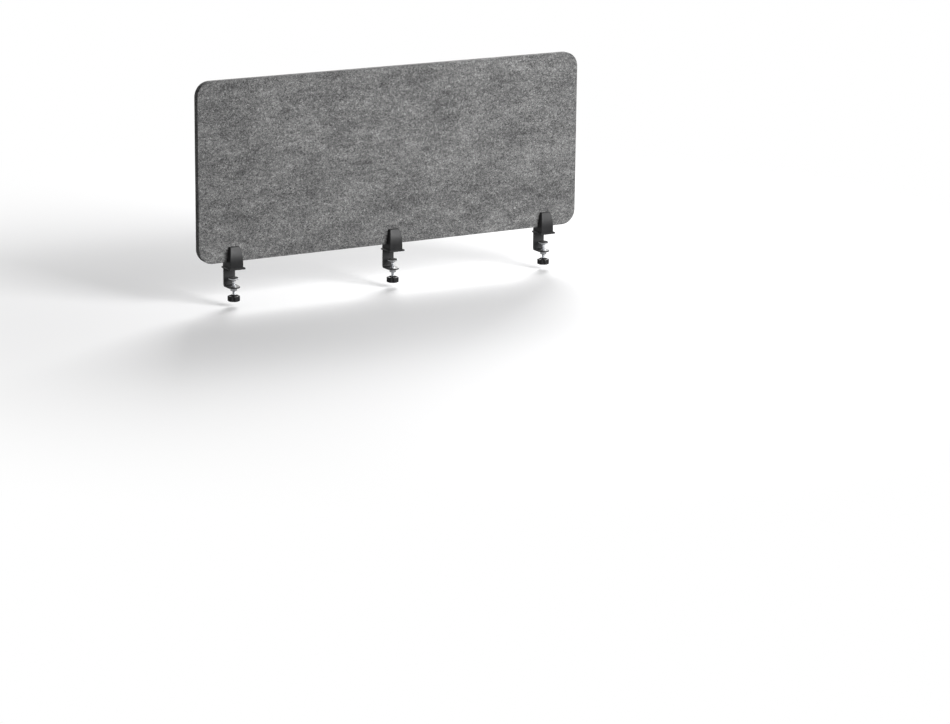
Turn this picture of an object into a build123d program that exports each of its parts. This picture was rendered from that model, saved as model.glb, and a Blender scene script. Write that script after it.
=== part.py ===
from build123d import *
import os

# Acoustic divider screen for the rear edge of a desk: a panel of two bonded felt boards in three desk clamps.
# Millimetres. X runs along the screen, Y to the rear, Z up.
# The origin is on the desk surface, under the middle of the panel.

# Felt panel
panel_length = 1200.0
panel_height = 500.0
panel_lift = 19.0
board_thickness = 10.0
corner_radius = 42.0
felt_edge_bevel = 1.2

# Row of clamps: one in the middle, and one this far in from each end of the panel
clamp_inset = 104.0

# Desk that the clamps hold: the one at rest, the thinnest and the thickest
desk_thickness = 25.0
desk_thinnest = 15.0
desk_thickest = 40.0

# Holder, the moulding that carries the panel
holder_top = 62.0
front_shoulder = 20.0
side_shoulder = 10.0
block_width = 40.0
top_width = 28.4
upright_depth = 19.5
front_lean = 9.5
rear_wall = 6.4
rear_lean = 1.0
rear_skin = 3.0
rear_rim = 2.6
slot_fit = 0.1
slot_floor = 3.0
holder_wall = 2.5
holder_round = 1.4
holder_top_chamfer = 0.4
rib_thickness = 2.0
flange_thickness = 3.5
flange_bevel = 2.2
flange_front_margin = 5.0
flange_side_margin = 5.5
flange_corner = 3.0
boss_radius = 4.2
front_boss_height = 20.0

# Desk pad
desk_pad_thickness = 1.5
desk_pad_margin = 0.8

# Steel clamp frame
strip_thickness = 4.0
bend_radius = 2.0
frame_fit = 0.2
arm_corner = 4.0

# Countersunk screws that hold the frame in the holder
frame_screw_radius = 2.0
frame_screw_length = 12.0
frame_screw_head_radius = 3.75
screw_clearance = 0.2
rear_screw_inset = 8.5

# Round-head screws that hold the panel in the holder
panel_screw_radius = 2.0
panel_screw_length = 12.0
panel_screw_head_radius = 3.8
panel_screw_head_height = 2.4
panel_screw_low = 32.0
panel_screw_rise = 18.0
thread_fit = 0.02

# Threaded bush in the lower arm
bush_radius = 7.0
bush_collar_radius = 9.0
bush_length = 12.0
spindle_fit = 0.05

# Pressure disc and its pad
disc_radius = 14.0
disc_rim = 2.5
disc_height = 7.0
disc_collar_radius = 6.5
disc_skin = 1.5
disc_park_gap = 1.0
disc_pad_radius = 13.0
disc_pad_thickness = 2.0
disc_pad_bevel = 0.8

# Spindle
spindle_radius = 4.0
button_radius = 3.2
button_height = 2.6
socket_fit = 0.1
neck_radius = 1.9
neck_length = 3.6
neck_cone = 2.5
hex_key_radius = 2.9
hex_key_depth = 4.0

# Knob
knob_radius = 17.0
knob_height = 18.0
knob_hub_radius = 8.0
knob_hub_rise = 3.0
knob_bevel = 1.5
knob_wall_radius = 12.4
knob_core_depth = 9.0
knob_flutes = 6
flute_radius = 6.5
flute_depth = 2.6
knob_ribs = 4
knob_gap = 1.0

# One overrun for every cut
overrun = 1.0

# Levels and planes that pieces share
clamp_pitch = panel_length / 2 - clamp_inset
slot_half = board_thickness + slot_fit
holder_front = -(slot_half + upright_depth)
spine_inner = slot_half + rear_wall
flange_front = holder_front - flange_front_margin
flange_depth = spine_inner - flange_front
flange_width = block_width + 2 * flange_side_margin
flange_middle = (flange_front + spine_inner) / 2
arm_underside = desk_pad_thickness
arm_top = arm_underside + strip_thickness
arm_width = block_width - 2 * (holder_wall + frame_fit)
arm_front = holder_front + holder_wall + frame_fit
lower_arm_top = -(desk_thickest + disc_pad_thickness + disc_height + disc_park_gap)
lower_arm_underside = lower_arm_top - strip_thickness
bush_foot = lower_arm_top - bush_length
disc_top = -(desk_thickness + disc_pad_thickness)
button_top = disc_top - disc_skin - socket_fit
button_foot = button_top - button_height
knob_top = bush_foot - (desk_thickness - desk_thinnest) - knob_gap
knob_foot = knob_top - knob_height
front_screw_y = (holder_front - slot_half) / 2
rear_screw_y = spine_inner - rear_screw_inset
panel_screw_heights = [panel_screw_low, panel_screw_low + panel_screw_rise]
panel_middle = panel_lift + panel_height / 2


def bar(x_size, y_low, y_high, z_low, z_high):
    """A block centred on X, between two Y planes and two Z levels."""
    size_y = y_high - y_low
    size_z = z_high - z_low
    return Pos(0, y_low + size_y / 2, z_low + size_z / 2) * Box(x_size, size_y, size_z)


def upright_rod(radius, z_low, z_high, y=0):
    """A round bar or hole along Z."""
    return Pos(0, y, (z_low + z_high) / 2) * Cylinder(radius, z_high - z_low)


def level_rod(radius, y_low, y_high, z=0):
    """A round bar or hole along Y."""
    return Pos(0, (y_low + y_high) / 2, z) * Rot(90, 0, 0) * Cylinder(radius, y_high - y_low)


def turned(points):
    """A turned piece: an outline of radius and height, spun round the Z axis."""
    outline = make_face(Polyline(*points, close=True))
    return revolve(Plane.XZ * outline, Axis.Z)


def felt_board(y_inner, y_outer):
    """One board: a rounded rectangle, bevelled round its outer face."""
    thickness = abs(y_outer - y_inner)
    sheet = Plane.XZ * RectangleRounded(panel_length, panel_height, corner_radius)
    board = Pos(0, (y_inner + y_outer) / 2, panel_middle) * extrude(sheet, thickness / 2, both=True)
    outer_face = board.faces().sort_by(Axis.Y)[0 if y_outer < y_inner else -1]
    return chamfer(outer_face.edges(), felt_edge_bevel)


def rear_felt_board():
    """The rear board, with blind pilot holes for the panel screws."""
    board = felt_board(0, board_thickness)
    hole_end = slot_half + rear_skin - panel_screw_length
    for x in clamp_places.values():
        for height in panel_screw_heights:
            pilot = level_rod(panel_screw_radius + thread_fit, hole_end, board_thickness, height)
            board -= Pos(x, 0, 0) * pilot
    return board


def holder_front_view(inset):
    """The holder seen from the front: a straight skirt, then sides that curve in to a narrow top."""
    foot = arm_underside
    half_block = block_width / 2 - inset
    half_top = top_width / 2 - inset
    top = holder_top - inset
    shoulder = (half_block, side_shoulder)
    right = Line((half_block, foot), shoulder) + TangentArc(shoulder, (half_top, top), tangent=(0, 1))
    left = mirror(right, Plane.YZ)
    closing = [Line((half_top, top), (-half_top, top)), Line((-half_block, foot), (half_block, foot))]
    outline = make_face(right + left + closing)
    return extrude(Plane.XZ * outline, flange_depth, both=True)


def leaning_face(y, inset, lean):
    """The edge of a side view that stands straight to the shoulder and then curves over by the lean."""
    shoulder = (y, front_shoulder)
    top = (y + lean, holder_top - inset)
    return Line((y, arm_underside), shoulder) + TangentArc(shoulder, top, tangent=(0, 1))


def holder_side_view():
    """The holder seen from the side: front upright, panel slot and rear wall on one block."""
    front = leaning_face(holder_front, 0, front_lean)
    rear = leaning_face(spine_inner, 0, -rear_lean)
    inner = Polyline(
        (holder_front + front_lean, holder_top),
        (-slot_half, holder_top),
        (-slot_half, panel_lift),
        (slot_half, panel_lift),
        (slot_half, holder_top),
        (spine_inner - rear_lean, holder_top),
    )
    foot = Line((holder_front, arm_underside), (spine_inner, arm_underside))
    outline = make_face(front + rear + inner + foot)
    return extrude(Plane.YZ * outline, block_width, both=True)


def upright_core():
    """The hollow inside the front upright, one wall smaller all round."""
    y_front = holder_front + holder_wall
    y_rear = -slot_half - holder_wall
    front = leaning_face(y_front, holder_wall, front_lean)
    top = holder_top - holder_wall
    y_top = y_front + front_lean
    back = Polyline((y_top, top), (y_rear, top), (y_rear, arm_underside), (y_front, arm_underside))
    outline = make_face(front + back)
    side_view = extrude(Plane.YZ * outline, block_width, both=True)
    return side_view & holder_front_view(holder_wall)


def flange():
    """The square plate on the desk, bevelled along its top edge at the front and sides."""
    plan = RectangleRounded(flange_width, flange_depth, flange_corner)
    plate = Pos(0, flange_middle, arm_underside) * extrude(plan, flange_thickness)
    rim = plate.faces().sort_by(Axis.Z)[-1].edges()
    return chamfer(rim, flange_bevel)


def holder_stiffeners():
    """A rib along the steel arm that ties two screw bosses to the walls of the block and the upright."""
    return [
        bar(rib_thickness, holder_front, spine_inner, arm_top, holder_top),
        upright_rod(boss_radius, arm_top, arm_top + front_boss_height, front_screw_y),
        upright_rod(boss_radius, arm_top, panel_lift, rear_screw_y),
    ]


def rear_pockets():
    """Two pockets that lighten the rear wall, one round each panel screw, with a rib between them."""
    skin_plane = slot_half + rear_skin
    outside = spine_inner + overrun
    pocket = bar(block_width, skin_plane, outside, panel_lift + rear_rim, holder_top - rear_rim)
    pocket &= holder_front_view(rear_rim)
    rib_foot = panel_screw_low + (panel_screw_rise - rib_thickness) / 2
    return pocket - bar(block_width, 0, outside, rib_foot, rib_foot + rib_thickness)


def holder():
    """The moulded holder, cored out from below, with the panel slot between its uprights."""
    body = holder_side_view() & holder_front_view(0)
    front_edges = body.edges().filter_by(
        lambda e: e.center().Y < holder_front + front_lean and abs(e.center().X) > top_width / 4
    )
    body = fillet(front_edges, holder_round)
    top_edges = body.edges().filter_by(lambda e: e.bounding_box().min.Z > holder_top - holder_top_chamfer)
    body = chamfer(top_edges, holder_top_chamfer)
    body += flange()
    block_core = bar(
        block_width - 2 * holder_wall,
        -slot_half - holder_wall,
        spine_inner - holder_wall,
        arm_underside,
        panel_lift - slot_floor,
    )
    core = upright_core() + block_core
    for stiffener in holder_stiffeners():
        core -= stiffener
    body -= core
    body -= bar(arm_width + 2 * frame_fit, arm_front - frame_fit, spine_inner + overrun, 0, arm_top)
    body -= rear_pockets()
    screw_end = arm_underside + frame_screw_length + overrun
    for y in (front_screw_y, rear_screw_y):
        body -= upright_rod(frame_screw_radius + thread_fit, 0, screw_end, y)
    for height in panel_screw_heights:
        body -= level_rod(panel_screw_radius + screw_clearance, 0, spine_inner, height)
    return body


def desk_pad():
    """Anti-slip sheet stuck under the flange and the steel arm, over the two frame screws."""
    y_front = flange_front + desk_pad_margin
    y_rear = spine_inner - bend_radius
    plan = RectangleRounded(flange_width - 2 * desk_pad_margin, y_rear - y_front, flange_corner)
    return Pos(0, (y_front + y_rear) / 2, 0) * extrude(plan, desk_pad_thickness)


def clamp_frame():
    """Steel strip bent to a C round the desk edge, with a rounded end about the threaded bush."""
    spine_outer = spine_inner + strip_thickness
    lower_front = flange_middle - arm_width / 2
    outer_bends = FilletPolyline(
        (arm_front, arm_top),
        (spine_outer, arm_top),
        (spine_outer, lower_arm_underside),
        (lower_front, lower_arm_underside),
        radius=bend_radius + strip_thickness,
    )
    inner_bends = FilletPolyline(
        (arm_front, arm_underside),
        (spine_inner, arm_underside),
        (spine_inner, lower_arm_top),
        (lower_front, lower_arm_top),
        radius=bend_radius,
    )
    ends = [Line(outer_bends @ 0, inner_bends @ 0), Line(outer_bends @ 1, inner_bends @ 1)]
    section = make_face(outer_bends + inner_bends + ends)
    frame = extrude(Plane.YZ * section, arm_width / 2, both=True)
    arm_corners = frame.edges().filter_by(Axis.Z).filter_by(lambda e: e.center().Z > 0)
    frame = fillet(arm_corners, arm_corner)
    blank = bar(arm_width + overrun, lower_front - overrun, flange_middle, lower_arm_underside, lower_arm_top)
    end_disc = upright_rod(arm_width / 2, lower_arm_underside, lower_arm_top, flange_middle)
    frame -= blank - end_disc
    frame -= upright_rod(bush_radius, lower_arm_underside, lower_arm_top, flange_middle)
    hole_radius = frame_screw_radius + screw_clearance
    head_radius = frame_screw_head_radius + screw_clearance
    for y in (front_screw_y, rear_screw_y):
        frame -= upright_rod(hole_radius, arm_underside, arm_top, y)
        cone = Cone(head_radius, hole_radius, head_radius - hole_radius)
        frame -= Pos(0, y, arm_underside + (head_radius - hole_radius) / 2) * cone
    return frame


def frame_screws():
    """Countersunk screws, heads level with the underside of the steel arm."""
    head_depth = frame_screw_head_radius - frame_screw_radius
    screw = turned(
        [
            (0, 0),
            (frame_screw_head_radius, 0),
            (frame_screw_radius, head_depth),
            (frame_screw_radius, frame_screw_length),
            (0, frame_screw_length),
        ]
    )
    return [Pos(0, y, arm_underside) * screw for y in (front_screw_y, rear_screw_y)]


def panel_screws():
    """Round-head screws through the rear wall into the rear felt board, drawn along -Y."""
    screw = turned(
        [
            (0, panel_screw_head_height),
            (panel_screw_head_radius, panel_screw_head_height),
            (panel_screw_head_radius, 0),
            (panel_screw_radius, 0),
            (panel_screw_radius, -panel_screw_length),
            (0, -panel_screw_length),
        ]
    )
    seat = slot_half + rear_skin
    return [Pos(0, seat, height) * Rot(-90, 0, 0) * screw for height in panel_screw_heights]


def thread_bush():
    """Threaded bush pressed into the lower arm from below, with a collar against the steel."""
    bore = spindle_radius + spindle_fit
    bush = turned(
        [
            (bore, lower_arm_top),
            (bush_radius, lower_arm_top),
            (bush_radius, lower_arm_underside),
            (bush_collar_radius, lower_arm_underside),
            (bush_collar_radius, bush_foot),
            (bore, bush_foot),
        ]
    )
    return Pos(0, flange_middle, 0) * bush


def pressure_disc():
    """Turned disc with a collar that is closed under the spindle's button."""
    disc_foot = disc_top - disc_height
    socket_radius = button_radius + socket_fit
    neck_hole_radius = neck_radius + socket_fit
    disc = turned(
        [
            (0, disc_top),
            (disc_radius, disc_top),
            (disc_radius, disc_top - disc_rim),
            (disc_collar_radius, disc_top - disc_rim),
            (disc_collar_radius, disc_foot),
            (neck_hole_radius, disc_foot),
            (neck_hole_radius, button_foot - socket_fit),
            (socket_radius, button_foot - socket_fit),
            (socket_radius, disc_top - disc_skin),
            (0, disc_top - disc_skin),
        ]
    )
    return Pos(0, flange_middle, 0) * disc


def disc_pad():
    """Rubber pad bonded to the pressure disc, bevelled round its face."""
    face = disc_top + disc_pad_thickness
    pad = turned(
        [
            (0, disc_top),
            (disc_pad_radius, disc_top),
            (disc_pad_radius, face - disc_pad_bevel),
            (disc_pad_radius - disc_pad_bevel, face),
            (0, face),
        ]
    )
    return Pos(0, flange_middle, 0) * pad


def spindle():
    """Clamp screw: swivel button and neck at the top, hexagon socket at the foot."""
    cone_top = button_foot - neck_length
    shaft = turned(
        [
            (0, button_top),
            (button_radius, button_top),
            (button_radius, button_foot),
            (neck_radius, button_foot),
            (neck_radius, cone_top),
            (spindle_radius, cone_top - neck_cone),
            (spindle_radius, knob_foot),
            (0, knob_foot),
        ]
    )
    shaft -= Pos(0, 0, knob_foot) * extrude(RegularPolygon(hex_key_radius, 6), hex_key_depth)
    return Pos(0, flange_middle, 0) * shaft


def knob():
    """Fluted hand knob, cored from above round its hub and bored through for the spindle."""
    skirt_top = knob_top - knob_hub_rise
    skirt = upright_rod(knob_radius, knob_foot, skirt_top)
    skirt = chamfer(skirt.edges().filter_by(GeomType.CIRCLE), knob_bevel)
    flute = upright_rod(flute_radius, knob_foot - overrun, knob_top)
    skirt -= [
        flute.moved(loc) for loc in PolarLocations(knob_radius + flute_radius - flute_depth, knob_flutes)
    ]
    core = upright_rod(knob_wall_radius, skirt_top - knob_core_depth, knob_top)
    core -= upright_rod(knob_hub_radius, knob_foot, knob_top)
    rib = bar(rib_thickness, 0, knob_radius, knob_foot, knob_top)
    for turn in range(knob_ribs):
        core -= Rot(0, 0, (turn + 0.5) * 360 / knob_ribs) * rib
    body = skirt - core
    body += upright_rod(knob_hub_radius, skirt_top, knob_top)
    body -= upright_rod(spindle_radius, knob_foot, knob_top)
    return Pos(0, flange_middle, 0) * body


clamp_places = {"left": -clamp_pitch, "middle": 0, "right": clamp_pitch}

clamp_pieces = {
    "holder": holder,
    "desk_pad": desk_pad,
    "clamp_frame": clamp_frame,
    "frame_screws": frame_screws,
    "panel_screws": panel_screws,
    "thread_bush": thread_bush,
    "pressure_disc": pressure_disc,
    "disc_pad": disc_pad,
    "spindle": spindle,
    "knob": knob,
}


def write_step(node, shape):
    """Writes one node as its own STEP file."""
    export_step(shape, os.path.join("parts", node + ".step"))


os.makedirs("parts", exist_ok=True)
write_step("felt_board_front", felt_board(0, -board_thickness))
write_step("felt_board_rear", rear_felt_board())
for name, make_piece in clamp_pieces.items():
    piece = make_piece()
    solids = piece if isinstance(piece, list) else [piece]
    for side, x in clamp_places.items():
        placed = [Pos(x, 0, 0) * solid for solid in solids]
        write_step(f"{name}_{side}", placed[0] if len(placed) == 1 else Compound(children=placed))
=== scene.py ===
from math import cos, pi, radians, sin, sqrt

import bmesh
import bpy
from mathutils import Matrix, Vector


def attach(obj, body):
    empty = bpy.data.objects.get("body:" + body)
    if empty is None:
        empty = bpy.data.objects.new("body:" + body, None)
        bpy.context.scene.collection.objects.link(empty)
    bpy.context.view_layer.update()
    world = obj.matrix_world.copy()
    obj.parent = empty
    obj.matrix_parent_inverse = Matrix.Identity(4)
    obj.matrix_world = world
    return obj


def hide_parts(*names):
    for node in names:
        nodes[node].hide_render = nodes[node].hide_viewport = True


# Desk screen: two bonded felt boards, held by three desk clamps with moulded holders.
# Metres. X runs along the screen, Y to the rear, Z up, with the desk surface at zero.

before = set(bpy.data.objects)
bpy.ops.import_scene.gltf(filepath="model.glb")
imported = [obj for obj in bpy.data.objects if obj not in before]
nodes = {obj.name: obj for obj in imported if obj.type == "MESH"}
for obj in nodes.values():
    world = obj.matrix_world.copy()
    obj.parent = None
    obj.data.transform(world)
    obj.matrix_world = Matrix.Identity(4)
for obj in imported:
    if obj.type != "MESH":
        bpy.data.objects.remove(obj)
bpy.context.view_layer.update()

clamps = {"left": -0.496, "middle": 0.0, "right": 0.496}

# Felt panel
panel_length = 1.2
panel_low = 0.019
panel_high = 0.519
board_thickness = 0.010
panel_corner = 0.042
felt_edge = 0.0015
glue_line_edge = 0.0006

# Moulded holder
block_half = 0.020
top_half = 0.0142
holder_foot = 0.0015
holder_top = 0.062
side_shoulder = 0.010
front_shoulder = 0.020
holder_front = -0.0296
holder_rear = 0.0165
slot_half = 0.0101
slot_clear = 0.001
front_lean = 0.0095
rear_lean = 0.001
upright_round = 0.0014
top_rim = 0.0005
rear_rim = 0.0004
flange_front = -0.0346
flange_half = 0.0255
flange_top = 0.005
flange_bevel = 0.0022
flange_corner = 0.003
flange_rim = 0.00025
flange_skirt = 0.0022
pocket_rim = 0.0026
pocket_middle = 0.0155
pocket_depth = 0.0048
pocket_rib = (0.040, 0.042)
screw_hole = 0.0022

# Steel clamp frame, spindle and knob
arm_half = 0.0173
arm_top = 0.0055
arm_front = -0.0269
arm_corner = 0.004
arm_clearance = 0.0002
strip = 0.004
strip_rim = 0.0004
bend_inside = 0.002
lower_arm_top = -0.050
bush_radius = 0.007
frame_screw_places = (-0.01985, 0.0080)
spindle_y = -0.00905
spindle_foot = -0.091
hexagon_radius = 0.0029
thread_radius = 0.004
thread_pitch = 0.00125
thread_core = 0.0033
thread_turns = 34
thread_top = -0.0396
knob_foot = -0.091
knob_rim = -0.076
knob_top = -0.073
knob_radius = 0.017
knob_edge = 0.002
knob_bore = 0.00402
flute_ring = 0.0209
flute_radius = 0.0065
spindle_lowering = 0.015

# Pressure disc and its pad
disc_top = -0.027
pad_face = -0.025
pad_rings = (0.0032, 0.0064, 0.0096)
ring_depth = 0.0004

# Panel screws
screw_seat = 0.0131
screw_heights = (0.032, 0.050)
panel_screw_core = 0.0014
panel_screw_crest = 0.0020
panel_screw_pitch = 0.0014
recess_half = (0.0021, 0.00045)

# Floor and camera
floor_gap = 0.0005
floor_size = 120
fade_start = 0.6
fade_end = 2.2
film_width = 36
picture_width = 950
focal_pixels = 3213.5
camera_place = (-4.2697, -7.7052, 1.9517)
camera_turn = -0.5331
camera_drop = 0.2528
camera_roll = 0.0111


# Bench tools

def clear_selection():
    """Leaves no object selected."""
    bpy.ops.object.select_all(action="DESELECT")


def named(name):
    """Gives the primitive just added its name, with its size and place settled in its mesh."""
    piece = bpy.context.object
    piece.name = name
    piece.data.name = name
    bpy.ops.object.transform_apply(location=True, rotation=True, scale=True)
    return piece


def edit():
    """Opens the active piece for shaping."""
    bpy.ops.object.mode_set(mode="EDIT")


def done():
    """Closes the piece that is being shaped."""
    bpy.ops.object.mode_set(mode="OBJECT")


def take(piece):
    """Makes this piece the only one selected, and the active one."""
    clear_selection()
    piece.select_set(True)
    bpy.context.view_layer.objects.active = piece


def middle_of(item):
    """The middle of an edge or a face."""
    return sum((v.co for v in item.verts), Vector()) / len(item.verts)


def pick_faces(test):
    """Selects only the faces whose middle and normal pass the test."""
    bpy.ops.mesh.select_mode(type="FACE")
    bpy.ops.mesh.select_all(action="DESELECT")
    for face in bmesh.from_edit_mesh(bpy.context.object.data).faces:
        if test(middle_of(face), face.normal):
            face.select_set(True)


def pick_edges(test):
    """Selects only the edges whose two ends pass the test."""
    bpy.ops.mesh.select_mode(type="EDGE")
    bpy.ops.mesh.select_all(action="DESELECT")
    for edge in bmesh.from_edit_mesh(bpy.context.object.data).edges:
        if test(edge.verts[0].co, edge.verts[1].co):
            edge.select_set(True)


def pick_upright_edges(y):
    """Selects only the upright edges at a place along Y."""
    pick_edges(lambda a, b: not near(a.z, b.z) and near(a.y, y) and near(b.y, y))


def pick_sharp_edges(angle, test=None):
    """Selects only the edges that turn by more than an angle in degrees."""
    bpy.ops.mesh.select_mode(type="EDGE")
    bpy.ops.mesh.select_all(action="DESELECT")
    for edge in bmesh.from_edit_mesh(bpy.context.object.data).edges:
        if len(edge.link_faces) == 2 and edge.calc_face_angle() > radians(angle):
            if test is None or test(middle_of(edge)):
                edge.select_set(True)


def pick_points(test):
    """Selects only the vertices that pass the test."""
    bpy.ops.mesh.select_mode(type="VERT")
    bpy.ops.mesh.select_all(action="DESELECT")
    for vert in bmesh.from_edit_mesh(bpy.context.object.data).verts:
        if test(vert.co):
            vert.select_set(True)


def near(a, b):
    """Whether two lengths are the same within a hundredth of a millimetre."""
    return abs(a - b) < 1e-5


def pull(x=0.0, y=0.0, z=0.0):
    """Extrudes what is selected and moves it."""
    bpy.ops.mesh.extrude_region_move(TRANSFORM_OT_translate={"value": (x, y, z)})


def round_edges(size, segments):
    """Bevels the selected edges."""
    bpy.ops.mesh.bevel(offset=size, segments=segments, affect="EDGES", clamp_overlap=False)


def make_solid():
    """Merges doubles and turns every face outwards."""
    bpy.ops.mesh.select_all(action="SELECT")
    bpy.ops.mesh.remove_doubles(threshold=1e-6)
    bpy.ops.mesh.normals_make_consistent(inside=False)


def work(piece, tool, how):
    """Joins a tool to a piece, or cuts it away, and uses the tool up."""
    take(piece)
    bpy.ops.object.modifier_add(type="BOOLEAN")
    step = piece.modifiers[-1]
    step.object = tool
    step.operation = how
    step.solver = "EXACT"
    bpy.ops.object.modifier_apply(modifier=step.name)
    bpy.data.objects.remove(tool)


def block(name, low, high):
    """A rectangular block between two corners."""
    clear_selection()
    size = [b - a for a, b in zip(low, high)]
    place = [(a + b) / 2 for a, b in zip(low, high)]
    bpy.ops.mesh.primitive_cube_add(size=1, location=place, scale=size)
    return named(name)


def sheet(name, place, width, depth, turn=(0, 0, 0)):
    """A flat rectangle, to be pulled into a solid."""
    clear_selection()
    bpy.ops.mesh.primitive_plane_add(size=1, location=place, rotation=turn)
    bpy.context.object.scale = (width, depth, 1)
    return named(name)


def start_line(name, place):
    """A single point, open for pulling out a line."""
    clear_selection()
    bpy.ops.mesh.primitive_plane_add(size=0.002, location=place)
    piece = named(name)
    edit()
    bpy.ops.mesh.select_mode(type="VERT")
    bpy.ops.mesh.select_all(action="SELECT")
    bpy.ops.mesh.merge(type="CENTER")
    return piece


def rod(name, radius, start, end, sides=48):
    """A round bar from one point to another."""
    clear_selection()
    start, end = Vector(start), Vector(end)
    run = end - start
    turn = run.to_track_quat("Z", "Y").to_euler()
    bpy.ops.mesh.primitive_cylinder_add(
        vertices=sides, radius=radius, depth=run.length, location=(start + end) / 2, rotation=turn
    )
    return named(name)


def turned(name, outline, y, sides):
    """Spins a line of radius and height points round the upright line at y."""
    piece = start_line(name, (outline[0][0], y, outline[0][1]))
    for (r0, z0), (r1, z1) in zip(outline, outline[1:]):
        pull(x=r1 - r0, z=z1 - z0)
    bpy.ops.mesh.select_all(action="SELECT")
    bpy.ops.mesh.spin(steps=sides, angle=2 * pi, center=(0, y, 0), axis=(0, 0, 1))
    make_solid()
    done()
    return piece


def finish_shading(piece, angle=35):
    """Smooth shading that breaks at real edges, with broad faces kept flat."""
    take(piece)
    bpy.ops.object.shade_smooth_by_angle(angle=radians(angle))
    bpy.ops.object.modifier_add(type="WEIGHTED_NORMAL")
    piece.modifiers[-1].keep_sharp = True
    bpy.ops.object.modifier_apply(modifier=piece.modifiers[-1].name)


def joined(piece, other):
    """Makes another piece part of this one."""
    take(piece)
    other.select_set(True)
    bpy.ops.object.join()


def at_every_clamp(piece, node, body, material):
    """Copies a middle clamp's piece to the other two, and puts each in its node's place."""
    made = {"middle": piece}
    for side, x in clamps.items():
        if side == "middle":
            continue
        take(piece)
        bpy.ops.object.duplicate(linked=False)
        twin = bpy.context.object
        bpy.ops.transform.translate(value=(x, 0, 0))
        bpy.ops.object.transform_apply(location=True, rotation=True, scale=True)
        made[side] = twin
    base = piece.name
    for side, twin in made.items():
        twin.name = f"{base}_{side}"
        twin.data.name = twin.name
        twin.data.materials.clear()
        twin.data.materials.append(material)
        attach(twin, body if body == "screen" else f"{body}_{side}")
        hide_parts(f"{node}_{side}")


# Finishes

def new_finish(name):
    """A material with its node tree, its shader and its object coordinates."""
    finish = bpy.data.materials.new(name)
    finish.use_nodes = True
    tree = finish.node_tree
    shader = tree.nodes["Principled BSDF"]
    place = tree.nodes.new("ShaderNodeTexCoord").outputs["Object"]
    return finish, tree, shader, place


def stretched(tree, place, scale, turn=(0, 0, 0)):
    """Coordinates that are turned, then scaled by different amounts along X, Y and Z."""
    mapping = tree.nodes.new("ShaderNodeMapping")
    mapping.vector_type = "TEXTURE"
    mapping.inputs["Rotation"].default_value = turn
    mapping.inputs["Scale"].default_value = [1 / amount for amount in scale]
    tree.links.new(place, mapping.inputs["Vector"])
    return mapping.outputs["Vector"]


def bent(tree, place, scale, amount):
    """Coordinates that drift from point to point, so that straight streaks bend."""
    drift = tree.nodes.new("ShaderNodeTexNoise")
    drift.inputs["Scale"].default_value = scale
    drift.inputs["Detail"].default_value = 2.0
    tree.links.new(place, drift.inputs["Vector"])
    shift = tree.nodes.new("ShaderNodeVectorMath")
    shift.operation = "MULTIPLY_ADD"
    shift.inputs[1].default_value = (amount, amount, amount)
    tree.links.new(drift.outputs["Color"], shift.inputs[0])
    tree.links.new(place, shift.inputs[2])
    return shift.outputs["Vector"]


def noise(tree, place, scale, detail, rough, warp=0.0):
    """A cloudy pattern with values about a half."""
    node = tree.nodes.new("ShaderNodeTexNoise")
    node.inputs["Scale"].default_value = scale
    node.inputs["Detail"].default_value = detail
    node.inputs["Roughness"].default_value = rough
    node.inputs["Distortion"].default_value = warp
    tree.links.new(place, node.inputs["Vector"])
    return node.outputs["Fac"]


def span(tree, value, low, high, to_low=0.0, to_high=1.0):
    """Spreads one range of a value over another, smoothly."""
    node = tree.nodes.new("ShaderNodeMapRange")
    node.interpolation_type = "SMOOTHSTEP"
    limits = {"From Min": low, "From Max": high, "To Min": to_low, "To Max": to_high}
    for name, number in limits.items():
        node.inputs[name].default_value = number
    tree.links.new(value, node.inputs["Value"])
    return node.outputs["Result"]


def combine(tree, how, a, b):
    """A value worked out from two others, such as their sum or product."""
    node = tree.nodes.new("ShaderNodeMath")
    node.operation = how
    for socket, value in zip(node.inputs, (a, b)):
        if isinstance(value, float):
            socket.default_value = value
        else:
            tree.links.new(value, socket)
    return node.outputs[0]


def tones(tree, value, stops):
    """A ramp of tones, from pairs of position and colour."""
    ramp = tree.nodes.new("ShaderNodeValToRGB")
    elements = ramp.color_ramp.elements
    while len(elements) < len(stops):
        elements.new(0.5)
    for element, (position, tone) in zip(elements, stops):
        element.position = position
        element.color = (tone[0], tone[1], tone[2], 1)
    tree.links.new(value, ramp.inputs["Fac"])
    return ramp.outputs["Color"]


def raise_surface(tree, shader, height, depth, strength):
    """Gives the shader a fine relief from a height pattern."""
    bump = tree.nodes.new("ShaderNodeBump")
    bump.inputs["Strength"].default_value = strength
    bump.inputs["Distance"].default_value = depth
    tree.links.new(height, bump.inputs["Height"])
    tree.links.new(bump.outputs["Normal"], shader.inputs["Normal"])


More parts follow.
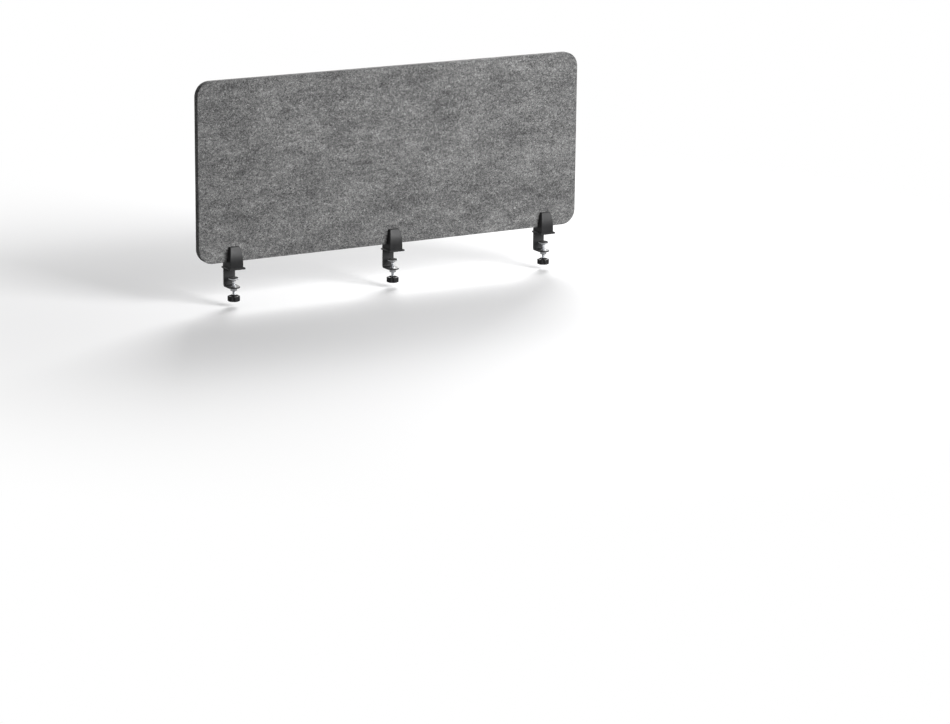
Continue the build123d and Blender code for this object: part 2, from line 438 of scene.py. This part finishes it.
def felt_finish():
    """Pressed heather felt: dark and pale fibres every way, tufts, and long soft clouds."""
    finish, tree, shader, place = new_finish("pressed_felt")
    clouds = noise(tree, stretched(tree, place, (5, 12, 11)), 1.0, 3.0, 0.55)
    drifts = noise(tree, stretched(tree, place, (26, 60, 62)), 1.0, 3.0, 0.6, 0.6)
    tufts = noise(tree, stretched(tree, place, (150, 300, 190)), 1.0, 2.0, 0.6, 0.8)
    # Each layer of fibres: how it is turned, how closely it repeats lengthways, and its curl
    layers = ((0.2, 130, 70), (1.2, 170, 95), (-0.75, 150, 80), (2.3, 190, 110))
    fibres = None
    for turn, length, curl in layers:
        path = stretched(tree, bent(tree, place, curl, 0.022), (length, 500, 1000), (0, turn, 0))
        strand = noise(tree, path, 1.0, 1.0, 0.5, 0.4)
        strand = span(tree, strand, 0.30, 0.70)
        fibres = strand if fibres is None else combine(tree, "ADD", fibres, strand)
    fibres = combine(tree, "MULTIPLY", fibres, 1 / len(layers))
    weights = ((clouds, 0.36), (drifts, 0.46), (tufts, 0.66), (fibres, 0.90))
    blend = None
    for pattern, weight in weights:
        share = combine(tree, "MULTIPLY", combine(tree, "SUBTRACT", pattern, 0.5), weight)
        blend = share if blend is None else combine(tree, "ADD", blend, share)
    blend = combine(tree, "ADD", blend, 0.5)
    tone = tones(
        tree,
        blend,
        (
            (0.18, (0.042, 0.042, 0.043)),
            (0.40, (0.102, 0.102, 0.103)),
            (0.52, (0.160, 0.160, 0.160)),
            (0.66, (0.245, 0.245, 0.243)),
            (0.86, (0.440, 0.440, 0.435)),
        ),
    )
    tree.links.new(tone, shader.inputs["Base Color"])
    shader.inputs["Roughness"].default_value = 0.96
    shader.inputs["Specular IOR Level"].default_value = 0.15
    shader.inputs["Sheen Weight"].default_value = 0.08
    shader.inputs["Sheen Roughness"].default_value = 0.5
    relief = combine(tree, "ADD", combine(tree, "MULTIPLY", tufts, 0.7), fibres)
    raise_surface(tree, shader, relief, 0.0006, 0.8)
    return finish


def moulded_finish():
    """Black moulding with a fine eroded texture and a satin gloss."""
    finish, tree, shader, place = new_finish("satin_black_moulding")
    grain = noise(tree, place, 2600, 2.0, 0.6)
    haze = noise(tree, place, 60, 3.0, 0.6)
    tone = tones(tree, haze, ((0.3, (0.0150, 0.0150, 0.0157)), (0.7, (0.0200, 0.0200, 0.0207))))
    tree.links.new(tone, shader.inputs["Base Color"])
    shader.inputs["Specular IOR Level"].default_value = 0.24
    tree.links.new(span(tree, haze, 0.25, 0.75, 0.35, 0.43), shader.inputs["Roughness"])
    raise_surface(tree, shader, grain, 0.00006, 0.5)
    return finish


def coated_finish():
    """Black powder coat over steel, with its orange peel and fine pits."""
    finish, tree, shader, place = new_finish("black_powder_coat")
    peel = noise(tree, place, 700, 2.0, 0.5)
    pits = noise(tree, place, 3200, 1.0, 0.5)
    tone = tones(tree, peel, ((0.3, (0.0170, 0.0170, 0.0178)), (0.7, (0.0240, 0.0240, 0.0250))))
    tree.links.new(tone, shader.inputs["Base Color"])
    tree.links.new(span(tree, peel, 0.3, 0.7, 0.46, 0.60), shader.inputs["Roughness"])
    relief = combine(tree, "ADD", peel, combine(tree, "MULTIPLY", pits, 0.35))
    raise_surface(tree, shader, relief, 0.00012, 0.6)
    return finish


def rubber_finish():
    """Black rubber with a fine chequer of grip points and a dry bloom."""
    finish, tree, shader, place = new_finish("grip_rubber")
    bloom = noise(tree, place, 90, 4.0, 0.65)
    tone = tones(tree, bloom, ((0.3, (0.016, 0.016, 0.016)), (0.75, (0.034, 0.034, 0.033))))
    tree.links.new(tone, shader.inputs["Base Color"])
    shader.inputs["Roughness"].default_value = 0.88
    shader.inputs["Specular IOR Level"].default_value = 0.35
    dots = tree.nodes.new("ShaderNodeTexVoronoi")
    dots.inputs["Scale"].default_value = 850
    dots.inputs["Randomness"].default_value = 0.0
    tree.links.new(place, dots.inputs["Vector"])
    points = span(tree, dots.outputs["Distance"], 0.15, 0.45, 1.0, 0.0)
    raise_surface(tree, shader, points, 0.0002, 0.7)
    return finish


def zinc_finish():
    """Bright zinc plate over turned steel: fine turning lines and a cloudy passivation."""
    finish, tree, shader, place = new_finish("bright_zinc")
    lines = noise(tree, stretched(tree, place, (60, 60, 9000)), 1.0, 2.0, 0.6)
    cloud = noise(tree, place, 240, 3.0, 0.6)
    tone = tones(tree, cloud, ((0.3, (0.50, 0.51, 0.535)), (0.7, (0.64, 0.65, 0.66))))
    tree.links.new(tone, shader.inputs["Base Color"])
    shader.inputs["Metallic"].default_value = 1.0
    streaked = combine(tree, "MULTIPLY", lines, 0.16)
    clouded = combine(tree, "MULTIPLY", cloud, 0.12)
    dullness = combine(tree, "ADD", combine(tree, "ADD", streaked, clouded), 0.16)
    tree.links.new(dullness, shader.inputs["Roughness"])
    raise_surface(tree, shader, lines, 0.00002, 0.5)
    return finish


felt = felt_finish()
moulded = moulded_finish()
coated = coated_finish()
rubber = rubber_finish()
zinc = zinc_finish()


# Felt panel

def felt_board(name, y_back, y_face):
    """One pressed board: rounded corners, a soft rim on its face, a crisp one at the glue."""
    board = block(
        name,
        (-panel_length / 2, min(y_back, y_face), panel_low),
        (panel_length / 2, max(y_back, y_face), panel_high),
    )
    edit()
    pick_edges(lambda a, b: not near(a.y, b.y))
    round_edges(panel_corner, 24)
    pick_edges(lambda a, b: near(a.y, y_face) and near(b.y, y_face))
    round_edges(felt_edge, 4)
    pick_edges(lambda a, b: near(a.y, y_back) and near(b.y, y_back))
    round_edges(glue_line_edge, 2)
    make_solid()
    done()
    finish_shading(board)
    board.data.materials.append(felt)
    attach(board, "screen")
    return board


front_felt = felt_board("pressed_felt_front", 0.0, -board_thickness)
rear_felt = felt_board("pressed_felt_rear", 0.0, board_thickness)
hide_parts("felt_board_front")
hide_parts("felt_board_rear")


# Moulded holders

def arc_shift(height, shoulder, sideways):
    """How far an edge that curves in above its shoulder has moved sideways at a height."""
    rise = holder_top - shoulder
    radius = (sideways**2 + rise**2) / (2 * sideways)
    return radius - sqrt(radius**2 - max(0.0, height - shoulder) ** 2)


def half_width(height):
    """Half the holder's width at a height."""
    return block_half - arc_shift(height, side_shoulder, block_half - top_half)


def raise_level(low, high, inner=False):
    """Extrudes the tops to the next level, narrows them, and leans the front and rear."""
    pull(z=high - low)
    narrow = half_width(high) / half_width(low)
    bpy.ops.transform.resize(value=(narrow, 1, 1), center_override=(0, 0, 0))
    lean = arc_shift(high, front_shoulder, front_lean) - arc_shift(low, front_shoulder, front_lean)
    tilt = arc_shift(high, front_shoulder, rear_lean) - arc_shift(low, front_shoulder, rear_lean)
    pick_points(lambda p: near(p.z, high) and p.y < -slot_half - slot_clear)
    bpy.ops.transform.translate(value=(0, lean, 0))
    pick_points(lambda p: near(p.z, high) and p.y > slot_half + slot_clear)
    bpy.ops.transform.translate(value=(0, -tilt, 0))
    pick_faces(lambda m, n: near(m.z, high) and not (inner and abs(m.y) < slot_half))


def holder_levels(start):
    """Heights at which the curved sides are divided, from a start to the top."""
    marks = (0.010, 0.0125, 0.015, 0.0175, 0.019, 0.020, 0.0225, 0.025, 0.028, 0.031, 0.034)
    marks += (0.037, 0.040, 0.043, 0.046, 0.049, 0.052, 0.055, 0.058, 0.060, holder_top)
    return [mark for mark in marks if mark > start]


def pocket_tool():
    """What the mould takes out of the rear wall: two pockets with a rib between them."""
    low, high = panel_low + pocket_rim, holder_top - pocket_rim
    marks = [low] + [mark for mark in holder_levels(low) if mark < high] + [high]
    width = 2 * (half_width(low) - pocket_rim)
    tool = sheet("pocket_tool", (0, pocket_middle, low), width, pocket_depth)
    edit()
    bpy.ops.mesh.select_all(action="SELECT")
    for below, above in zip(marks, marks[1:]):
        pull(z=above - below)
        narrow = (half_width(above) - pocket_rim) / (half_width(below) - pocket_rim)
        bpy.ops.transform.resize(value=(narrow, 1, 1), center_override=(0, 0, 0))
    make_solid()
    done()
    rib_low, rib_high = pocket_rib
    work(tool, block("rib", (-0.03, 0, rib_low), (0.03, 0.03, rib_high)), "DIFFERENCE")
    return tool


def flange_plate():
    """The square foot on the desk, bevelled along its top edge, with rounded corners."""
    plate = block(
        "flange",
        (-flange_half, flange_front, holder_foot),
        (flange_half, holder_rear, flange_top),
    )
    edit()
    pick_edges(lambda a, b: not near(a.z, b.z))
    round_edges(flange_corner, 6)
    pick_edges(lambda a, b: near(a.z, flange_top) and near(b.z, flange_top))
    round_edges(flange_bevel, 1)
    pick_sharp_edges(25, lambda m: m.z > flange_skirt)
    round_edges(flange_rim, 2)
    make_solid()
    done()
    return plate


def moulded_holder():
    """One moulding: block, leaning front upright, panel slot, pocketed rear wall and flange."""
    place = (0, (holder_front + holder_rear) / 2, holder_foot)
    body = sheet("moulded_holder", place, 2 * block_half, holder_rear - holder_front)
    edit()
    for y in (-slot_half, slot_half):
        bpy.ops.mesh.select_all(action="SELECT")
        bpy.ops.mesh.bisect(plane_co=(0, y, 0), plane_no=(0, 1, 0))
    bpy.ops.mesh.select_mode(type="FACE")
    bpy.ops.mesh.select_all(action="SELECT")
    low = holder_foot
    for high in holder_levels(holder_foot):
        if near(low, panel_low):
            pick_faces(lambda m, n: near(m.z, panel_low) and abs(m.y) > slot_half)
        raise_level(low, high, inner=high > panel_low)
        low = high
    make_solid()
    # The long edges of the front upright, then the rims of the tops, then the rear corners
    pick_edges(
        lambda a, b: not near(a.z, b.z)
        and a.y < -slot_half - slot_clear
        and near(abs(a.x), half_width(a.z))
        and near(a.y, holder_front + arc_shift(a.z, front_shoulder, front_lean))
    )
    round_edges(upright_round, 5)
    pick_sharp_edges(40, lambda m: m.z > holder_top - 0.0002)
    round_edges(top_rim, 3)
    pick_sharp_edges(40, lambda m: m.y > holder_rear - 0.0012 and abs(m.x) > top_half - 0.001)
    round_edges(rear_rim, 2)
    make_solid()
    done()
    work(body, pocket_tool(), "DIFFERENCE")
    for height in screw_heights:
        hole = rod("shank_hole", screw_hole, (0, 0.005, height), (0, 0.02, height))
        work(body, hole, "DIFFERENCE")
    work(body, flange_plate(), "UNION")
    side = arm_half + arm_clearance
    channel = block("channel", (-side, arm_front - arm_clearance, 0), (side, 0.02, arm_top))
    work(body, channel, "DIFFERENCE")
    finish_shading(body, 30)
    return body


at_every_clamp(moulded_holder(), "holder", "screen", moulded)


# Steel clamp frames

def bent_frame():
    """Steel strip bent twice round the desk edge, with a round lower end about the bush."""
    bend_y = holder_rear - bend_inside
    start = (0, arm_front, arm_top - strip / 2)
    bar = sheet("bent_frame", start, 2 * arm_half, strip, (pi / 2, 0, 0))
    edit()
    bpy.ops.mesh.select_mode(type="FACE")
    bpy.ops.mesh.select_all(action="SELECT")
    pull(y=bend_y - arm_front)
    top_centre = arm_top - strip - bend_inside
    foot_centre = lower_arm_top + bend_inside
    bpy.ops.mesh.spin(steps=8, angle=pi / 2, center=(0, bend_y, top_centre), axis=(1, 0, 0))
    pull(z=foot_centre - top_centre)
    bpy.ops.mesh.spin(steps=8, angle=pi / 2, center=(0, bend_y, foot_centre), axis=(1, 0, 0))
    pull(y=spindle_y - arm_half - bend_y)
    make_solid()
    lower_front = spindle_y - arm_half
    pick_upright_edges(lower_front)
    round_edges(arm_half - 0.0001, 16)
    pick_upright_edges(arm_front)
    round_edges(arm_corner, 5)
    pick_sharp_edges(50)
    round_edges(strip_rim, 2)
    make_solid()
    done()
    above, below = (0, spindle_y, lower_arm_top + 0.002), (0, spindle_y, -0.06)
    work(bar, rod("bush_hole", bush_radius, above, below), "DIFFERENCE")
    countersink = (
        (0, 0.0010),
        (0.00395, 0.0010),
        (0.00395, 0.0015),
        (0.0022, 0.00325),
        (0.0022, 0.007),
        (0, 0.007),
    )
    for y in frame_screw_places:
        work(bar, turned("countersink", countersink, y, 48), "DIFFERENCE")
    finish_shading(bar, 30)
    return bar


at_every_clamp(bent_frame(), "clamp_frame", "screen", coated)


# Clamp spindles and their knobs

def threaded_rod(name, core, crest, pitch, turns, top, y=0.0):
    """An upright thread on its core, closed at both ends."""
    flank, land = 0.44 * pitch, 0.12 * pitch
    thread = start_line(name, (core, 0, 0))
    pull(x=crest - core, z=flank)
    pull(z=land)
    pull(x=core - crest, z=flank)
    done()
    bpy.ops.object.modifier_add(type="SCREW")
    helix = thread.modifiers[-1]
    helix.screw_offset = pitch
    helix.iterations = turns
    helix.steps = helix.render_steps = 24
    helix.use_merge_vertices = True
    helix.merge_threshold = 1e-6
    bpy.ops.object.modifier_apply(modifier=helix.name)
    edit()
    bpy.ops.mesh.select_all(action="SELECT")
    bpy.ops.transform.translate(value=(0, y, top - (turns + 1) * pitch))
    bpy.ops.mesh.remove_doubles(threshold=1e-6)
    bpy.ops.mesh.select_mode(type="EDGE")
    bpy.ops.mesh.select_all(action="DESELECT")
    bpy.ops.mesh.select_non_manifold()
    bpy.ops.mesh.fill()
    make_solid()
    done()
    return thread


def threaded_spindle():
    """Clamp screw with a cut thread, a button on a neck, and a hexagon socket in its foot."""
    thread = threaded_rod(
        "threaded_spindle",
        thread_core,
        thread_radius,
        thread_pitch,
        thread_turns,
        thread_top,
        spindle_y,
    )
    outline = (
        (0, -0.0286),
        (0.0029, -0.0286),
        (0.0032, -0.0289),
        (0.0032, -0.0309),
        (0.0029, -0.0312),
        (0.0019, -0.0312),
        (0.0019, -0.0348),
        (0.0038, -0.0371),
        (thread_radius, -0.0375),
        (thread_radius, -0.0401),
        (thread_core, -0.0407),
        (thread_core, -0.0760),
        (thread_radius, -0.0764),
        (thread_radius, spindle_foot + 0.0004),
        (0.0036, spindle_foot),
        (0, spindle_foot),
    )
    shaft = turned("shaft", outline, spindle_y, 40)
    socket_top, socket_foot = spindle_foot + 0.004, spindle_foot - 0.002
    socket = rod(
        "hexagon", hexagon_radius, (0, spindle_y, socket_top), (0, spindle_y, socket_foot), 6
    )
    work(shaft, socket, "DIFFERENCE")
    joined(thread, shaft)
    bpy.ops.object.shade_smooth_by_angle(angle=radians(28))
    return thread


def hand_knob():
    """Six-fluted grip with rounded rims, cored round a ribbed hub that takes the spindle."""
    rim = knob_edge
    arc = [k * pi / 10 for k in range(6)]
    foot = [(knob_radius - rim + rim * sin(t), knob_foot + rim - rim * cos(t)) for t in arc]
    head = [(knob_radius - rim + rim * cos(t), knob_rim - rim + rim * sin(t)) for t in arc]
    inside = [
        (0.0127, knob_rim),
        (0.0124, knob_rim - 0.0003),
        (0.0124, -0.0850),
        (0.0080, -0.0850),
        (0.0080, knob_top - 0.0006),
        (0.0074, knob_top),
        (knob_bore + 0.0004, knob_top),
        (knob_bore, knob_top - 0.0004),
        (knob_bore, knob_foot),
    ]
    outline = [(knob_bore, knob_foot)] + foot + head + inside
    grip = turned("hand_knob", outline, spindle_y, 96)
    for turn in range(6):
        around = turn * pi / 3
        x, y = flute_ring * cos(around), spindle_y + flute_ring * sin(around)
        work(grip, rod("flute", flute_radius, (x, y, -0.095), (x, y, -0.07), 56), "DIFFERENCE")
    for turn in range(4):
        rib = block("rib", (0.0072, -0.001, -0.0856), (0.0132, 0.001, -0.0764))
        rib.rotation_euler.z = pi / 4 + turn * pi / 2
        rib.location.y = spindle_y
        work(grip, rib, "UNION")
    finish_shading(grip, 32)
    return grip


at_every_clamp(threaded_spindle(), "spindle", "spindle", zinc)
at_every_clamp(hand_knob(), "knob", "spindle", moulded)


# Pressure discs, their pads and the threaded bushes

def swivel_disc():
    """Turned disc with a soft rim, closed round the spindle's button."""
    outline = (
        (0, disc_top),
        (0.0134, disc_top),
        (0.0138, -0.0272),
        (0.0140, -0.0276),
        (0.0140, -0.0289),
        (0.0138, -0.0293),
        (0.0134, -0.0295),
        (0.0065, -0.0295),
        (0.0065, -0.0335),
        (0.0060, -0.0340),
        (0.0023, -0.0340),
        (0.0020, -0.0337),
        (0.0020, -0.0313),
        (0.0033, -0.0313),
        (0.0033, -0.0285),
        (0, -0.0285),
    )
    disc = turned("swivel_disc", outline, spindle_y, 72)
    finish_shading(disc, 40)
    return disc


def ringed_pad():
    """Rubber face of the pressure disc, with a bevelled rim and three shallow rings."""
    ring_bottom = pad_face - ring_depth
    outline = [(0, pad_face)]
    for ring in pad_rings:
        outline += [(ring, pad_face), (ring + 0.0003, ring_bottom)]
        outline += [(ring + 0.0007, ring_bottom), (ring + 0.001, pad_face)]
    outline += [(0.0122, pad_face), (0.0130, pad_face - 0.0008), (0.0130, disc_top), (0, disc_top)]
    pad = turned("ringed_pad", outline, spindle_y, 64)
    finish_shading(pad, 30)
    return pad


def collared_bush():
    """Bush for the spindle's thread, with a chamfered collar under the arm."""
    outline = (
        (0.0044, lower_arm_top),
        (bush_radius, lower_arm_top),
        (bush_radius, -0.0540),
        (0.0085, -0.0540),
        (0.0090, -0.0545),
        (0.0090, -0.0615),
        (0.0085, -0.0620),
        (0.0044, -0.0620),
        (0.00405, -0.0616),
        (0.00405, -0.0504),
        (0.0044, lower_arm_top),
    )
    bush = turned("collared_bush", outline, spindle_y, 56)
    finish_shading(bush, 40)
    return bush


at_every_clamp(swivel_disc(), "pressure_disc", "disc", zinc)
at_every_clamp(ringed_pad(), "disc_pad", "disc", rubber)
at_every_clamp(collared_bush(), "thread_bush", "screen", zinc)


# Panel screws

def panel_screw_pair():
    """Two round-head screws with a cross recess, drawn through the rear wall into the felt."""
    screw = threaded_rod(
        "panel_screw_pair", panel_screw_core, panel_screw_crest, panel_screw_pitch, 7, -0.0004
    )
    point = ((0, -0.0120), (0.0002, -0.0119), (0.0013, -0.0105), (0.0013, 0.0004), (0, 0.0004))
    shank = turned("shank", point, 0, 24)
    dome = (
        (0, 0.0024),
        (0.0016, 0.0023),
        (0.0027, 0.0020),
        (0.0034, 0.0014),
        (0.0038, 0.0006),
        (0.0038, 0.0001),
        (0.0037, 0.0),
        (0, 0.0),
    )
    head = turned("head", dome, 0, 40)
    for half_x, half_y in (recess_half, recess_half[::-1]):
        slot = block("slot", (-half_x, -half_y, 0.0010), (half_x, half_y, 0.003))
        work(head, slot, "DIFFERENCE")
    joined(screw, shank)
    joined(screw, head)
    screw.rotation_euler.x = -pi / 2
    screw.location = (0, screw_seat, screw_heights[0])
    bpy.ops.object.transform_apply(location=True, rotation=True, scale=True)
    bpy.ops.object.duplicate(linked=False)
    upper = bpy.context.object
    bpy.ops.transform.translate(value=(0, 0, screw_heights[1] - screw_heights[0]))
    bpy.ops.object.transform_apply(location=True, rotation=True, scale=True)
    joined(screw, upper)
    bpy.ops.object.shade_smooth_by_angle(angle=radians(30))
    return screw


at_every_clamp(panel_screw_pair(), "panel_screws", "screen", zinc)


# Pieces that keep their own shape

for side in clamps:
    for base, finish in (("desk_pad", rubber), ("frame_screws", zinc)):
        for entry in nodes[f"{base}_{side}"].material_slots:
            entry.material = finish


# Floor, lights and camera

def rays_of(tree, *kinds):
    """One for rays of these kinds, and nought for all others."""
    rays = tree.nodes.new("ShaderNodeLightPath").outputs
    either = rays[kinds[0]]
    for kind in kinds[1:]:
        either = combine(tree, "MAXIMUM", either, rays[kind])
    return either


def floor_finish():
    """Pale floor that keeps the shadow near the screen and fades to plain white further out."""
    finish, tree, shader, place = new_finish("pale_floor")
    shader.inputs["Roughness"].default_value = 0.9
    shader.inputs["Specular IOR Level"].default_value = 0.1
    tone = tree.nodes.new("ShaderNodeMix")
    tone.data_type = "RGBA"
    tone.inputs["A"].default_value = (0.28, 0.28, 0.28, 1)
    tone.inputs["B"].default_value = (0.94, 0.94, 0.945, 1)
    tree.links.new(rays_of(tree, "Is Camera Ray"), tone.inputs["Factor"])
    tree.links.new(tone.outputs["Result"], shader.inputs["Base Color"])
    white = tree.nodes.new("ShaderNodeEmission")
    white.inputs["Color"].default_value = (1, 1, 1, 1)
    far = tree.nodes.new("ShaderNodeVectorMath")
    far.operation = "LENGTH"
    tree.links.new(place, far.inputs[0])
    fade = span(tree, far.outputs["Value"], fade_start, fade_end)
    seen = rays_of(tree, "Is Camera Ray", "Is Glossy Ray")
    mix = tree.nodes.new("ShaderNodeMixShader")
    tree.links.new(combine(tree, "MULTIPLY", fade, seen), mix.inputs["Fac"])
    tree.links.new(shader.outputs["BSDF"], mix.inputs[1])
    tree.links.new(white.outputs["Emission"], mix.inputs[2])
    tree.links.new(mix.outputs["Shader"], tree.nodes["Material Output"].inputs["Surface"])
    return finish


def lay_floor():
    """Lays the floor just under the knobs at their lowest."""
    clear_selection()
    height = knob_foot - spindle_lowering - floor_gap
    bpy.ops.mesh.primitive_plane_add(size=floor_size, location=(0, 0, height))
    floor = bpy.context.object
    floor.name = "pale_floor"
    floor.data.materials.append(floor_finish())


def hang_backdrop():
    """White all round to look at and to mirror, and a low even light on the screen."""
    world = bpy.data.worlds.new("studio")
    bpy.context.scene.world = world
    world.use_nodes = True
    tree = world.node_tree
    backdrop = tree.nodes["Background"]
    backdrop.inputs["Color"].default_value = (1, 1, 1, 1)
    seen = rays_of(tree, "Is Camera Ray", "Is Glossy Ray", "Is Transmission Ray")
    tree.links.new(span(tree, seen, 0.0, 1.0, 0.16, 1.0), backdrop.inputs["Strength"])


def softbox(name, place, aim, size, power):
    """A square soft light aimed at a point."""
    clear_selection()
    bpy.ops.object.light_add(type="AREA", location=place)
    lamp = bpy.context.object
    lamp.name = name
    lamp.data.size = size
    lamp.data.energy = power
    lamp.rotation_euler = (Vector(aim) - Vector(place)).to_track_quat("-Z", "Y").to_euler()


def place_camera():
    """A long lens at the photograph's viewing angle."""
    clear_selection()
    bpy.ops.object.camera_add()
    camera = bpy.context.object
    camera.name = "studio_camera"
    camera.data.sensor_width = film_width
    camera.data.lens = focal_pixels / picture_width * film_width
    camera.data.clip_end = 200
    camera.matrix_world = (
        Matrix.Translation(camera_place)
        @ Matrix.Rotation(camera_turn, 4, "Z")
        @ Matrix.Rotation(pi / 2 - camera_drop, 4, "X")
        @ Matrix.Rotation(camera_roll, 4, "Z")
    )
    bpy.context.scene.camera = camera


lay_floor()
hang_backdrop()
softbox("key_light", (1.7, -3.8, 1.95), (0.05, 0, 0.25), 2.6, 250)
softbox("rear_light", (2.5, 3.1, 2.5), (0, 0, 0.3), 2.4, 220)
place_camera()
bpy.context.scene.view_settings.view_transform = "Standard"
